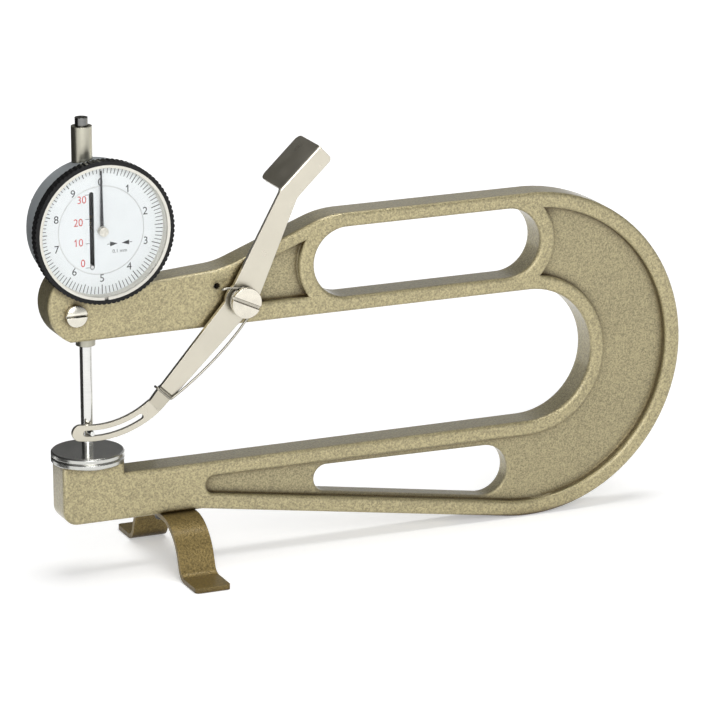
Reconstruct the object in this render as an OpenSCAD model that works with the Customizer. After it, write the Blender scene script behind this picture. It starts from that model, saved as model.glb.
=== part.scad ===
// Thickness gauge: a deep cast bow, a dial indicator with two contact discs, a lifting lever and a strap stand.
// Lengths are in millimetres. The front faces -Y, Z is up, and the casting's middle plane is Y = 0.
// Sizes below are taken from the spindle's axis (X = 0) and from the plane where the two discs meet (Z = 0).

/* [Frame] */
// Distance from the spindle's axis to the centre of the bow
bow_x = 194.9; // [180:0.1:225]
// Height of the bow's centre above the contact plane
bow_z = 21.1; // [20:0.1:22]
// Radius of the bow's outer edge
bow_r = 70.4; // [69:0.1:74]
// Radius of the throat's round end, half the throat's height
throat_r = 28.7; // [28:0.1:30]
// Thickness of the casting
frame_t = 14; // [13.2:0.1:16]
// Depth of the sunk panels on each side
panel_depth = 3.5; // [0.8:0.1:4]
// Width of the rim round the throat
rim_in = 6.1; // [5:0.1:7]
// Width of the rim along the outer edge
rim_out = 6.6; // [5:0.1:8]
// Height of the lower arm at its free end
arm_h = 19.7; // [18:0.1:22]
// Reach of the lower arm past the spindle's axis
arm_over = 13; // [11:0.1:16]
// Distance from the spindle to the top of the upper arm's ramp
ramp_x = 103.8; // [102:0.1:110]
// Slope of the upper arm's ramp in degrees
ramp_a = 21; // [19:0.1:22]
// Distance from the spindle to the foot of the upper arm's ramp
neck_x = 58; // [56:0.1:62]
// Radius of the upper arm's rounded nose
nose_r = 16.8; // [15.5:0.1:18]
// Height of the bar under the upper window
win_sill = 6.2; // [5.6:0.1:9]
// Distance from the spindle to the upper window's near end centre
win_x1 = 112.2; // [110:0.1:120]
// Width of the sunk web over the lower window's large end
low_gap = 3; // [2.6:0.1:5]
// Size of the lower window's small end against its large end
low_taper = 0.53; // [0.45:0.01:0.56]
// Length of the lower window between its end centres
low_len = 71.6; // [50:0.1:72.5]

/* [Contact discs] */
// Diameter of both contact discs
disc_d = 30; // [24:0.5:32]
// Thickness of the moving disc
disc_t = 2.3; // [1.8:0.1:2.6]
// Thickness of the fixed disc
anvil_t = 2.4; // [2:0.1:3]
// Chamfer on the discs' rims
disc_c = 0.5; // [0.2:0.1:0.8]

/* [Spindle and stem] */
// Travel of the spindle
travel = 30; // [26:0.5:33]
// Diameter of the spindle
spindle_d = 5; // [4.8:0.1:5.2]
// Diameter of the stem held by the upper arm
stem_d = 8; // [7.6:0.1:8.4]
// Height of the stem's lower end above the contact plane
stem_z = 46.6; // [46:0.1:48.6]
// Diameter of the sleeve above the dial
sleeve_d = 8.5; // [8:0.1:10]
// Height of the sleeve above the top of the dial housing
sleeve_h = 13.8; // [8:0.1:20]
// Height of the spindle's cap
cap_h = 3.3; // [3:0.1:6]

/* [Dial] */
// Distance of the dial's axis to the right of the spindle's axis
dial_x = 3.6; // [3.5:0.1:3.8]
// Height of the dial's axis above the contact plane
dial_z = 96.6; // [96:0.1:99]
// How far the fluted bezel stands out past the housing
bezel_w = 2.3; // [1.8:0.1:4]
// Number of flutes round the bezel
flutes = 90; // [60:2:120]
// Width of the outer scale between the inner dial and the housing's edge
scale_w = 9.3; // [8.8:0.1:10.4]
// Distance from the end of the travel slot to the inner dial's edge
slot_end = 2.9; // [2.2:0.1:3.6]
// Number of teeth on the pinion
pinion_n = 16; // [16:1:16]
// Spindle travel for one turn of the pointer
per_turn = 10; // [10:1:10]

/* [Lifting lever] */
// Distance of the lever's pivot from the spindle's axis
pivot_x = 64.05; // [63:0.05:66]
// Height of the lever's pivot above the contact plane
pivot_z = 60.75; // [60:0.05:61.5]
// Height of the lift pin above the contact plane
pin_z = 10.6; // [10.2:0.1:11.4]
// Spindle lift for each radian the lever turns
lever_k = 62; // [60:0.5:66]
// Thickness of the lever's sheet
sheet = 1.8; // [1.2:0.1:1.8]
// Half the width of the slotted strip
strip_w = 3.35; // [2.8:0.05:3.4]
// Diameter of the lift pin
pin_d = 2; // [1.6:0.1:2]
// Diameter of the pivot screw's head
head_d = 12.8; // [11:0.1:13]
// Wire diameter of the lever's spring
wire_d = 1; // [0.8:0.05:1]

/* [Stand] */
// Distance of the strap's middle from the spindle's axis
strap_x = 36.5; // [35:0.1:38]
// Width of the strap
strap_w = 15.3; // [15:0.1:18]
// Thickness of the strap
strap_t = 2; // [1.6:0.1:2.4]
// Distance from the strap to the bend in the lower arm's underside
knee_gap = 3.2; // [2:0.1:6]
// Half the distance between the ends of the two feet
foot_y = 46; // [44:0.5:50]

/* [Fits] */
// Radial clearance of pressed and screwed pieces
press = 0.01; // [0.005:0.005:0.02]
// Radial clearance of pieces that slide or turn in each other
run = 0.04; // [0.02:0.01:0.06]
// Gap between pieces that pass each other freely
free = 0.3; // [0.2:0.05:0.35]

/* [Hidden] */
$fn = 64;
e = 0.1;

// Frame
half_t = frame_t / 2;
throat_lo = bow_z - throat_r;
throat_hi = bow_z + throat_r;
top_z = bow_z + bow_r;
floor_z = bow_z - bow_r;
under_z = throat_lo - arm_h;
knee_x = strap_x + strap_w / 2 + knee_gap;
knee_v = [bow_x - knee_x, bow_z - under_z];
belly_a = asin(bow_r / norm(knee_v)) - atan2(knee_v[1], knee_v[0]);
function under_bow(r) = [bow_x - r * sin(belly_a), bow_z - r * cos(belly_a)];
ramp_hi = [ramp_x, top_z];
ramp_lo = [neck_x, top_z - (ramp_x - neck_x) * tan(ramp_a)];
neck_a = 4.3;
nose = [-1.2, 65];
ramp_hi_r = 40;
ramp_lo_r = 30;
tip_r = 6;
win_end = 10.2;
win_x2 = bow_x - win_end;
win_top = 0.7;
win_r = (top_z - rim_out + win_top - throat_hi - win_sill) / 2;
win_z = top_z - rim_out + win_top - win_r;
win_rim = 6.8;
panel_win_r = win_r + win_rim;
panel_top = throat_lo - rim_in;
panel_r = bow_r - rim_out;
panel_end = 5.4;
panel_tip_x = knee_x + panel_end;
panel_low = under_bow(panel_r);
panel_tip_low = panel_low[1] + (panel_low[0] - panel_tip_x) * tan(belly_a);
panel_tip_r = (panel_top - panel_tip_low) * cos(belly_a) / (1 + cos(belly_a));
panel_tip = [panel_tip_x, panel_top - panel_tip_r];
low_end = 19.7;
low_edge = bow_z - sqrt(panel_r * panel_r - low_end * low_end);
low_under = 0.8;
low_r2 = (panel_top - low_edge - low_gap - low_under) / 2;
low_r1 = low_taper * low_r2;
low_top = 2.2;
low_c2 = [bow_x - low_end, panel_top - low_gap - low_r2];
low_c1 = [low_c2[0] - low_len, panel_top - low_top - low_r1];
side_panel_up = 8;
side_panel_z = throat_hi + side_panel_up;
side_panel_by = 8.95;
side_panel_x = pivot_x + side_panel_by;
side_panel_rim = 6;

// Contact discs and anvil
rest_gap = 0.02;
disc_r = disc_d / 2;
stud_r = 3;
stud_z = -16;
set_r = 2;
set_z = -12;
set_depth = 0.5;

// Spindle and what it carries
spindle_r = spindle_d / 2;
stem_r = stem_d / 2;
sleeve_r = sleeve_d / 2;
collar_r = 2.3;
collar_h = 2.3;
collar_z = rest_gap + disc_t + collar_h;
step_h = 3;
neck_z = collar_z + step_h;
tip_stud_r = 1.25;
tip_stud_h = 3.6;
tip_stud_z = collar_z + tip_stud_h;
pin_r = pin_d / 2;
marker_x = -0.3;
marker_low = 0;
marker_z = dial_z - travel / 2 - marker_low;
marker_r = 0.75;
marker_tip_r = 0.7;
marker_back = spindle_r - 0.6;
guide_x = -8.5;
guide_r = 1;
lug_z0 = marker_z - 4.8;
lug_z1 = lug_z0 + 2.6;
lug_x0 = guide_x - 2.3;
lug_x1 = guide_x + 4.1;
arm_top = marker_z + 1.9;
arm_front = -4.2;
arm_back = 1.5;
arm_right = 1.2;

// Dial, from the bezel's front to the back of the housing
face_r = travel / 2 + slot_end;
housing_r = face_r + scale_w;
bezel_r = housing_r + bezel_w;
flute = 0.4;
wall = 1.6;
housing_in = housing_r - wall;
neck_r = housing_r - 0.6;
bezel_y0 = -16.2;
flute_y1 = -11.5;
bezel_y1 = -8.9;
bezel_back_r = bezel_r - 1.2;
shelf_y = -10.6;
housing_y0 = bezel_y1 + 0.1;
neck_y0 = shelf_y + 0.3;
cover_y0 = max(stem_r, sleeve_r) + 0.1;
cover_y1 = cover_y0 + 0.9;
back_y0 = cover_y0 - 2.85;
back_r = housing_r - 1;
cover_r = back_r - 0.6;
seat_r = housing_r + 0.5;
glass_r = housing_r + 0.5;
ring_in = glass_r - 1.3;
scale_in = face_r + free + 0.05;
scale_y = shelf_y - 0.5;
glass_y = bezel_y0 + 0.4;
spacer_y = glass_y + 0.8;
face_y1 = shelf_y + 0.1;
plate_y0 = -9;
plate_y1 = -8;
boss_r = 2.4;
boss_at = housing_in - 1.8;
boss_a = [25, 155, 205, 335];
screw_r = 0.8;
screw_slot = 0.5;
cover_head_r = 1.7;
cover_head_h = 1;
cover_screw_l = 5;
plate_head_r = 1.4;
plate_head_h = 0.9;
plate_screw_l = 4.5;
foot_in = 5;
foot_at = face_r - foot_in;
foot_pin_r = 1;
groove_y0 = neck_y0 + 0.4;
groove_y1 = groove_y0 + 0.4;
groove_r = neck_r - 0.4;
clip_r = neck_r + 0.35;

// Rack and pinion
pitch = per_turn / pinion_n;
pitch_r = per_turn / (2 * PI);
addendum = 0.17;
dedendum = 0.23;
backlash = 0.03;
flank = tan(16);
rack_x = dial_x - pitch_r;
arbor_r = 1;
pivot_pin_r = 0.5;
pinion_y = 2.2;
bush_r = 2;
bush_flange_r = 2.7;
bush_flange_t = 1;
axial = 0.1;

// Clamp
clamp = [-6.5, 61.3];
clamp_head_r = 4.45;
clamp_head_h = 2.2;
clamp_screw_r = 2;
shoe_r = 3.2;
shoe_y0 = -3.4;
shoe_y1 = 6.2;

// Lifting lever
pivot = [pivot_x, pivot_z];
washer_t = 2;
lever_y1 = -half_t - washer_t - 0.05;
lever_y0 = lever_y1 - sheet;
strip_y1 = -spindle_r - 1.4;
strip_y0 = strip_y1 - sheet;
shoulder_r = 3.5;
hub_r = 7.4;
lever_arm_a = 46.3;
lever_arm_s = 48;
lever_arm_w0 = 5.7;
lever_arm_w1 = 3.6;
arm_u = [-cos(lever_arm_a), -sin(lever_arm_a)];
arm_v = [-arm_u[1], arm_u[0]];
slot_gap = 0.25;
slot_w = pin_r + slot_gap;
function slot_at(s) =
  let (t = s / lever_k * 180 / PI, b = pivot_z - pin_z - s)
  [pivot_x - pivot_x * cos(t) + b * sin(t), pivot_z - pivot_x * sin(t) - b * cos(t)];
function centre_of(p, q, r) =
  let (d = 2 * (p[0] * (q[1] - r[1]) + q[0] * (r[1] - p[1]) + r[0] * (p[1] - q[1])), a = p * p, b = q * q, c = r * r)
  [(a * (q[1] - r[1]) + b * (r[1] - p[1]) + c * (p[1] - q[1])) / d,
   (a * (r[0] - q[0]) + b * (p[0] - r[0]) + c * (q[0] - p[0])) / d];
slot_c = centre_of(slot_at(0), slot_at(travel / 2), slot_at(travel));
slot_r = norm(slot_at(0) - slot_c);
function on_slot(x) = [x, slot_c[1] - sqrt(slot_r * slot_r - (x - slot_c[0]) * (x - slot_c[0]))];
function slot_angle(x) = let (p = on_slot(x) - slot_c) atan2(p[1], p[0]);
strip_x0 = -4.9;
strip_x1 = 27;
slot_x0 = -2.4;
slot_x1 = slot_at(travel)[0] + 4.4;
knuckle_x = 20.3;
knuckle_h = 41.6;
knuckle = [pivot_x + knuckle_x, pivot_z + knuckle_h];
knuckle_r = 4.1;
fold_x = 16.9;
fold_h = 45;
fold = [pivot_x + fold_x, pivot_z + fold_h];
fold_a = 43.5;
fold_len = 23.7;
tab_w = 8.3;
tab_foot = 4.2;
tab_end_r = 2;
fold_r = 1.3;
inset = 0.05;
ease = 0.02;
tab_y1 = 10.9;
tab_r = 3;

// Lever spring
wire_r = wire_d / 2;
coil_r = 5.6;
coil_y = lever_y0 - wire_r - 0.05;
coil_pitch = wire_d + 0.5;
leg_out = 14;
leg_in = 14;
leg_a = lever_arm_a + leg_out;
leg_len = 49.5;
leg_off = 3.1;
leg_pull = [14, 16];
hook_len = 7.7;
hook_drop = 3;
coil_sweep = 540 - leg_a;
head_y1 = coil_y - coil_pitch * coil_sweep / 360 - wire_r - 0.1;
head_h = 2.1;
spring_hole = [54.4, 66.9];
spring_hole_r = 1.25;
spring_end_y = -half_t + 3;
screw_end_y = 4.5;
pivot_thread_r = 2.5;

// Return spring on the guide rod
rod_end = 0.8;
collar_t = 1.6;
guide_collar_r = 2.2;
half_chord = sqrt(housing_in * housing_in - (guide_x - dial_x) * (guide_x - dial_x));
rod_z0 = dial_z - half_chord - rod_end;
rod_z1 = dial_z + half_chord + rod_end;
guide_top = 3.56;
guide_collar_z = dial_z + half_chord - guide_top;
coil_wire_r = 0.2;
coil_mean_r = 1.75;
coil_turns = 10;

// Stand
strap_half = 8;
bend_r = 20;
leg_turn = 70;
foot_bend_r = 4.5;
foot_corner_r = 1.8;
leg_dir = [cos(leg_turn), -sin(leg_turn)];
leg_side = strap_t * [sin(leg_turn), cos(leg_turn)];
function on_leg(p, z) = p + leg_dir * (p[1] - z) / sin(leg_turn);
strap_p1 = [strap_half + bend_r * tan(leg_turn / 2), under_z];
strap_p2 = on_leg(strap_p1, floor_z + strap_t);
strap_q1 = on_leg(strap_p1 - leg_side, under_z - strap_t);
strap_q2 = on_leg(strap_p1 - leg_side, floor_z);
stand_screw_r = 2;
stand_head_r = 3.5;
stand_head_h = 1.6;
stand_slot_d = 0.8;
stand_screw_l = 12;
stand_screw_dx = 4.1;

// The whole gauge stands on Z = 0 with its box centred on X = 0 and Y = 0.
place = [-(dial_x - bezel_r + bow_x + bow_r) / 2, 0, -floor_z];

// Shapes used by several pieces

// A flat shape drawn in X and Z, made solid from Y = y0 to Y = y1
module slab(y0, y1) {
  translate([0, y1, 0]) rotate([90, 0, 0]) linear_extrude(height = y1 - y0) children();
}

// A round bar along Y
module bar_y(c, r, y0, y1) {
  translate([c[0], y1, c[1]]) rotate([90, 0, 0]) cylinder(r = r, h = y1 - y0);
}

// A round bar along Z
module bar_z(x, y, r, z0, z1) {
  translate([x, y, z0]) cylinder(r = r, h = z1 - z0);
}

// A ring about the dial's axis
module dial_ring(r0, r1, y0, y1) {
  difference() {
    bar_y([dial_x, dial_z], r1, y0, y1);
    bar_y([dial_x, dial_z], r0, y0 - e, y1 + e);
  }
}

// A turned piece about the dial's axis, from a profile of radius and Y
module turned(profile) {
  translate([dial_x, 0, dial_z]) rotate([-90, 0, 0]) rotate_extrude($fn = 128) polygon(profile);
}

// Two circles and the straight edges that touch both
module link(c1, r1, c2, r2) {
  d = c2 - c1;
  a = atan2(d[1], d[0]);
  b = acos((r1 - r2) / norm(d));
  s1 = r1 - ease;
  s2 = r2 - ease;
  translate(c1) circle(r = r1);
  translate(c2) circle(r = r2);
  polygon([
    c1 + s1 * [cos(a + b), sin(a + b)], c2 + s2 * [cos(a + b), sin(a + b)],
    c2 + s2 * [cos(a - b), sin(a - b)], c1 + s1 * [cos(a - b), sin(a - b)]
  ]);
}

// The sliver between a corner at p, with edges along u and v, and a circle that touches both edges
module corner(p, u, v, r, out) {
  phi = acos(u * v);
  t = r / tan(phi / 2);
  m = (u + v) / norm(u + v);
  difference() {
    polygon([p + t * u, p - out * m, p + t * v]);
    translate(p + m * r / sin(phi / 2)) circle(r = r, $fn = 128);
  }
}

// Part of a flat ring between two angles
module sector(c, r0, r1, a0, a1) {
  far = 2 * r1;
  am = (a0 + a1) / 2;
  intersection() {
    difference() {
      translate(c) circle(r = r1, $fn = 128);
      translate(c) circle(r = r0, $fn = 128);
    }
    polygon([c, c + far * [cos(a0), sin(a0)], c + far * [cos(am), sin(am)], c + far * [cos(a1), sin(a1)]]);
  }
}

// A round wire along a list of points
function unit(v) = v / norm(v);
function headings(p) = [for (i = [0 : len(p) - 1]) unit(p[min(i + 1, len(p) - 1)] - p[max(i - 1, 0)])];
function across(v, t) = unit(v - t * (v * t));
function sides(t, v, i = 0, done = []) =
  i == len(t) ? done :
  let (w = across(i == 0 ? v : done[i - 1], t[i])) sides(t, v, i + 1, concat(done, [w]));

module wire(p, r, first) {
  n = 6;
  t = headings(p);
  w = sides(t, first);
  last = (len(p) - 1) * n;
  points = [
    for (i = [0 : len(p) - 1]) for (j = [0 : n - 1])
      p[i] + r * (cos(360 * j / n) * w[i] + sin(360 * j / n) * cross(t[i], w[i]))
  ];
  faces = concat(
    [for (i = [0 : len(p) - 2]) for (j = [0 : n - 1]) [i * n + j, i * n + n + j, i * n + n + (j + 1) % n]],
    [for (i = [0 : len(p) - 2]) for (j = [0 : n - 1]) [i * n + j, i * n + n + (j + 1) % n, i * n + (j + 1) % n]],
    [for (j = [1 : n - 2]) [0, j, j + 1]],
    [for (j = [1 : n - 2]) [last, last + j + 1, last + j]]
  );
  polyhedron(points = points, faces = faces, convexity = 6);
}

// The least gap between turns of a wire, with points closer than skip along it left out
function least_gap(p, r, skip) =
  min([for (i = [0 : len(p) - 1]) for (j = [i + skip : 1 : len(p) - 1]) norm(p[i] - p[j])]) - 2 * r;

// Frame

module frame_outline() {
  difference() {
    union() {
      translate([bow_x, bow_z]) circle(r = bow_r, $fn = 256);
      polygon([[-arm_over, under_z], [knee_x, under_z], under_bow(bow_r - ease), [bow_x, bow_z], [-arm_over, bow_z]]);
      polygon([
        [bow_x, bow_z], [bow_x, top_z - ease], ramp_hi, ramp_lo,
        [nose[0], ramp_lo[1] - (ramp_lo[0] - nose[0]) * tan(neck_a)], [nose[0], bow_z]
      ]);
      translate(nose) circle(r = nose_r, $fn = 128);
      corner(ramp_lo, [-cos(neck_a), -sin(neck_a)], [cos(ramp_a), sin(ramp_a)], ramp_lo_r, 0.6);
    }
    translate([-arm_over - 30, throat_lo]) square([arm_over + 30 + bow_x, 2 * throat_r]);
    translate([bow_x, bow_z]) circle(r = throat_r, $fn = 128);
    translate([dial_x, dial_z]) circle(r = seat_r, $fn = 128);
    corner(ramp_hi, [-cos(ramp_a), -sin(ramp_a)], [1, 0], ramp_hi_r, 0.6);
    corner([-arm_over, under_z], [0, 1], [1, 0], tip_r, 0.6);
    link([win_x1, win_z], win_r, [win_x2, win_z], win_r);
    link(low_c1, low_r1, low_c2, low_r2);
  }
}

module bow_panel() {
  difference() {
    union() {
      translate([bow_x, bow_z]) circle(r = panel_r, $fn = 256);
      translate(panel_tip) circle(r = panel_tip_r + ease);
      polygon([
        [panel_tip_x, panel_top + ease], [bow_x, panel_top + ease], [bow_x, bow_z], under_bow(panel_r - ease),
        panel_tip - panel_tip_r * [sin(belly_a), cos(belly_a)]
      ]);
    }
    translate([bow_x, bow_z]) circle(r = throat_r + rim_in, $fn = 128);
    translate([panel_tip_x - bow_r, panel_top]) square([bow_x - panel_tip_x + bow_r, 2 * bow_r]);
    translate([win_x2, win_z]) circle(r = panel_win_r, $fn = 128);
  }
}

module side_panel() {
  rise = tan(ramp_a);
  top0 = top_z - (ramp_x - side_panel_x) * rise - side_panel_rim;
  difference() {
    polygon([
      [side_panel_x, side_panel_z], [win_x1, side_panel_z],
      [win_x1, top0 + (win_x1 - side_panel_x) * rise], [side_panel_x, top0]
    ]);
    translate([win_x1, win_z]) circle(r = panel_win_r, $fn = 128);
  }
}

module frame() {
  color("DarkKhaki") translate(place) difference() {
    union() {
      slab(-half_t, half_t) frame_outline();
      translate([-arm_over, -half_t, throat_lo - 1]) cube([2 * arm_over + 0.5, frame_t, 1 - anvil_t - throat_lo]);
    }
    slab(-half_t - e, -half_t + panel_depth) bow_panel();
    slab(half_t - panel_depth, half_t + e) bow_panel();
    slab(-half_t - e, -half_t + panel_depth) side_panel();
    slab(half_t - panel_depth, half_t + e) side_panel();
    bar_z(0, 0, stem_r + press, throat_hi - 1, dial_z);
    bar_y(clamp, clamp_screw_r + free, -half_t - e, half_t - 1);
    bar_y(clamp, shoe_r + press, shoe_y0 - free, half_t + e);
    bar_y(pivot, pivot_thread_r + press, -half_t - e, screw_end_y + free);
    bar_y(spring_hole, spring_hole_r, -half_t - e, spring_end_y + free);
    bar_z(0, 0, stud_r + press, stud_z - free, 0);
    bar_y([0, set_z], set_r + press, 0, half_t + e);
    for (s = [-1, 1])
      bar_z(strap_x + s * stand_screw_dx, 0, stand_screw_r + press, under_z - e, under_z + stand_screw_l + free);
  }
}

// Contact discs and anvil

module disc_solid(z0, t) {
  translate([0, 0, z0]) rotate_extrude($fn = 96) polygon([
    [0, 0], [disc_r - disc_c, 0], [disc_r, disc_c], [disc_r, t - disc_c], [disc_r - disc_c, t], [0, t]
  ]);
}

module anvil() {
  color("Silver") translate(place) union() {
    disc_solid(-anvil_t, anvil_t);
    bar_z(0, 0, stud_r, stud_z, -anvil_t + e);
  }
}

module anvil_screw() {
  color("DimGray") translate(place) difference() {
    bar_y([0, set_z], set_r, stud_r, half_t - set_depth);
    bar_y([0, set_z], 1, half_t - set_depth - 1.6, half_t + e, $fn = 6);
  }
}

module contact_disc() {
  color("Silver") translate(place) union() {
    disc_solid(rest_gap, disc_t);
    bar_z(0, 0, collar_r, rest_gap + disc_t - e, collar_z);
    bar_z(0, 0, tip_stud_r, collar_z - e, tip_stud_z);
  }
}

// Spindle and the pieces that ride on it

sleeve_z = dial_z + sqrt(housing_r * housing_r - dial_x * dial_x) + sleeve_h;
cap_z = sleeve_z + 0.2;
cap_stud_r = 1.7;
cap_stud_h = cap_h - 0.8;

module rack_cut() {
  first = -ceil((travel + 2) / pitch);
  last = ceil(2 / pitch);
  tip = pitch / 4 + backlash + addendum * flank;
  root = pitch / 4 + backlash - dedendum * flank;
  x_tip = rack_x + addendum;
  x_root = rack_x - dedendum;
  z0 = dial_z + (first - 0.5) * pitch;
  z1 = dial_z + (last + 0.5) * pitch;
  gaps = [
    for (i = [first : last]) let (z = dial_z + i * pitch)
      each [[x_tip, z - tip], [x_root, z - root], [x_root, z + root], [x_tip, z + tip]]
  ];
  slab(-spindle_r - 1, spindle_r + 1)
    polygon(concat([[spindle_r + 1, z0], [x_tip, z0]], gaps, [[x_tip, z1], [spindle_r + 1, z1]]));
}

module spindle() {
  color("Gainsboro") translate(place) difference() {
    union() {
      bar_z(0, 0, collar_r, collar_z, neck_z + e);
      bar_z(0, 0, spindle_r, neck_z, cap_z);
      bar_z(0, 0, cap_stud_r, cap_z - e, cap_z + cap_stud_h);
    }
    bar_z(0, 0, tip_stud_r + press, collar_z - e, tip_stud_z + 0.1);
    bar_y([0, pin_z], pin_r + press, -spindle_r - e, spindle_r + e);
    bar_y([marker_x, marker_z], marker_r + press, -spindle_r - e, marker_back);
    rack_cut();
  }
}

module spindle_cap() {
  color("Gainsboro") translate(place) difference() {
    bar_z(0, 0, spindle_r + 0.15, cap_z, cap_z + cap_h);
    bar_z(0, 0, cap_stud_r + press, cap_z - e, cap_z + cap_stud_h + 0.1);
  }
}

module lift_pin() {
  color("Silver") translate(place) bar_y([0, pin_z], pin_r, strip_y0 - 0.9, spindle_r - 0.3);
}

module spring_arm() {
  color("Goldenrod") translate(place) difference() {
    union() {
      translate([lug_x1 - e, arm_front, lug_z0]) cube([arm_right - lug_x1 + e, arm_back - arm_front, arm_top - lug_z0]);
      translate([lug_x0, arm_front, lug_z0]) cube([lug_x1 - lug_x0, arm_back - arm_front, lug_z1 - lug_z0]);
    }
    bar_z(0, 0, spindle_r + press, lug_z0 - e, arm_top + e);
    bar_z(guide_x, 0, guide_r + run, lug_z0 - e, lug_z1 + e);
    bar_y([marker_x, marker_z], marker_r + press, arm_front - e, 0);
  }
}

module travel_marker() {
  color("WhiteSmoke") translate(place) union() {
    bar_y([marker_x, marker_z], marker_r, plate_y0 - 0.3, marker_back);
    bar_y([marker_x, marker_z], marker_tip_r, scale_y + 0.1, plate_y0);
  }
}

// Dial housing and movement

module stem() {
  color("Gainsboro") translate(place) difference() {
    bar_z(0, 0, stem_r, stem_z, dial_z - housing_in + 2.5);
    bar_z(0, 0, spindle_r + run, stem_z - e, dial_z);
  }
}

module upper_sleeve() {
  color("Gainsboro") translate(place) difference() {
    bar_z(0, 0, sleeve_r, dial_z + housing_in - 2.5, sleeve_z);
    bar_z(0, 0, spindle_r + run, dial_z, sleeve_z + e);
  }
}

module bosses(r, y0, y1) {
  for (a = boss_a)
    bar_y([dial_x + boss_at * cos(a), dial_z + boss_at * sin(a)], r, y0, y1);
}

module dial_housing() {
  color("Silver") translate(place) difference() {
    union() {
      turned([
        [housing_in, neck_y0], [neck_r, neck_y0], [neck_r, housing_y0], [housing_r, housing_y0],
        [housing_r, back_y0], [back_r, cover_y0], [housing_in, cover_y0]
      ]);
      intersection() {
        bosses(boss_r, plate_y1, cover_y0);
        bar_y([dial_x, dial_z], back_r - 0.3, plate_y1 - e, cover_y0 + e);
      }
    }
    dial_ring(groove_r, housing_r + e, groove_y0 - press, groove_y1 + press);
    bosses(screw_r + press, plate_y1 - e, cover_y0 + e);
    bar_z(0, 0, stem_r + press, dial_z - housing_r - 1, dial_z - 10);
    bar_z(0, 0, sleeve_r + press, dial_z + 10, dial_z + housing_r + 1);
    bar_z(guide_x, 0, guide_r + press, rod_z0, rod_z1);
  }
}

module back_cover() {
  color("Silver") translate(place) difference() {
    turned([[0, cover_y0], [back_r, cover_y0], [cover_r, cover_y1], [0, cover_y1]]);
    bar_y([dial_x, dial_z], bush_r + press, cover_y0 - e, cover_y1 + e);
    bosses(screw_r + press, cover_y0 - e, cover_y1 + e);
  }
}

module slotted_head(c, r, y0, y1, w, d) {
  difference() {
    bar_y(c, r, y0, y1);
    translate([c[0] - r - e, y0 - e, c[1] - w / 2]) cube([2 * r + 2 * e, d + e, w]);
  }
}

module back_screws() {
  color("Silver") translate(place) for (a = boss_a)
    translate([dial_x + boss_at * cos(a), 0, dial_z + boss_at * sin(a)]) difference() {
      union() {
        bar_y([0, 0], cover_head_r, cover_y1, cover_y1 + cover_head_h);
        bar_y([0, 0], screw_r, cover_y1 - cover_screw_l, cover_y1 + e);
      }
      translate([-cover_head_r - e, cover_y1 + cover_head_h / 2, -screw_slot / 2])
        cube([2 * cover_head_r + 2 * e, cover_head_h, screw_slot]);
    }
}

module movement_plate() {
  slot = marker_r + free;
  color("Goldenrod") translate(place) difference() {
    bar_y([dial_x, dial_z], housing_in - press, plate_y0, plate_y1);
    bar_y([dial_x, dial_z], bush_r + press, plate_y0 - e, plate_y1 + e);
    bosses(screw_r + press, plate_y0 - e, plate_y1 + e);
    slab(plate_y0 - e, plate_y1 + e) link([marker_x, marker_z], slot, [marker_x, marker_z + travel], slot);
    for (s = [-1, 1])
      bar_y([dial_x + s * foot_at, dial_z], foot_pin_r + press, plate_y0 - e, plate_y1 + e);
  }
}

module plate_screws() {
  color("Silver") translate(place) for (a = boss_a)
    translate([dial_x + boss_at * cos(a), 0, dial_z + boss_at * sin(a)]) union() {
      slotted_head([0, 0], plate_head_r, plate_y0 - plate_head_h, plate_y0, screw_slot, plate_head_h / 2);
      bar_y([0, 0], screw_r, plate_y0 - e, plate_y0 + plate_screw_l);
    }
}

module front_bush() {
  color("Gold") translate(place) difference() {
    union() {
      bar_y([dial_x, dial_z], bush_r, plate_y0 - 0.4, plate_y1 + e);
      bar_y([dial_x, dial_z], bush_flange_r, plate_y1, plate_y1 + bush_flange_t);
    }
    bar_y([dial_x, dial_z], pivot_pin_r + run, plate_y0 - 1, plate_y1 + bush_flange_t + e);
  }
}

module rear_bush() {
  color("Gold") translate(place) difference() {
    union() {
      bar_y([dial_x, dial_z], bush_flange_r, cover_y0 - bush_flange_t, cover_y0);
      bar_y([dial_x, dial_z], bush_r, cover_y0 - e, cover_y1);
    }
    bar_y([dial_x, dial_z], pivot_pin_r + run, cover_y0 - bush_flange_t - e, cover_y1 - 0.4);
  }
}

module guide_rod() {
  color("Gainsboro") translate(place) union() {
    bar_z(guide_x, 0, guide_r, rod_z0, rod_z1);
    bar_z(guide_x, 0, guide_collar_r, guide_collar_z, guide_collar_z + collar_t);
  }
}

coil_z0 = lug_z1 + coil_wire_r + 0.02;
coil_z1 = guide_collar_z - coil_wire_r - 0.02;
return_path = [
  for (i = [0 : coil_turns * 8])
    [guide_x + coil_mean_r * cos(i * 45), coil_mean_r * sin(i * 45), coil_z0 + (coil_z1 - coil_z0) * i / (coil_turns * 8)]
];

module return_spring() {
  echo(return_spring_gap = least_gap(return_path, coil_wire_r, 5));
  color("SteelBlue") translate(place) wire(return_path, coil_wire_r, [1, 0, 0]);
}

module pinion_teeth() {
  tip = pitch / 4 - backlash - addendum * flank;
  root = pitch / 4 - backlash + dedendum * flank;
  polygon([
    for (i = [0 : pinion_n - 1])
      let (a = 180 - i * 360 / pinion_n, u = [cos(a), sin(a)], v = [sin(a), -cos(a)])
      each [
        (pitch_r - dedendum) * u - root * v, (pitch_r + addendum) * u - tip * v,
        (pitch_r + addendum) * u + tip * v, (pitch_r - dedendum) * u + root * v
      ]
  ]);
}

arbor_y0 = plate_y1 + bush_flange_t + axial;
arbor_y1 = cover_y0 - bush_flange_t - axial;
pointer_y1 = scale_y - 0.9;
pointer_y0 = pointer_y1 - 0.5;
hub_y0 = spacer_y + 0.3;

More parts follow.
